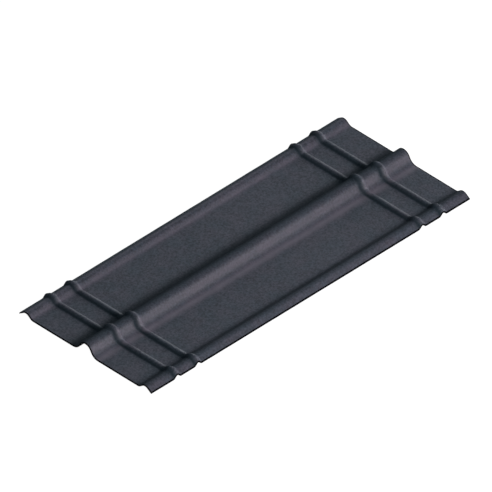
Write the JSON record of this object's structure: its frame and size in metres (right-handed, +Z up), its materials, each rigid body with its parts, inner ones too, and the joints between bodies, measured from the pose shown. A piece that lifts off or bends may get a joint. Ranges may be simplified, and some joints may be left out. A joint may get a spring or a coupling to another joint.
{
  "type": "corrugated bitumen ridge cap",
  "caption": "Long moulded ridge cap with flat wings, a rounded hollow roll along the middle, low raised lips along the free edges and cross ribs near the ends.",
  "frame": {"origin": "centre of the underside, on the plane of the flat wings", "axes": "+X across the ridge, +Y along the ridge, +Z up out of the roll"},
  "size_m": [0.414, 1, 0.0367],
  "materials": {
    "bitumen_sheet": "satin"
  },
  "bodies": {
    "root": {"ridge_cap": "bitumen_sheet"}
  },
  "joints": []
}
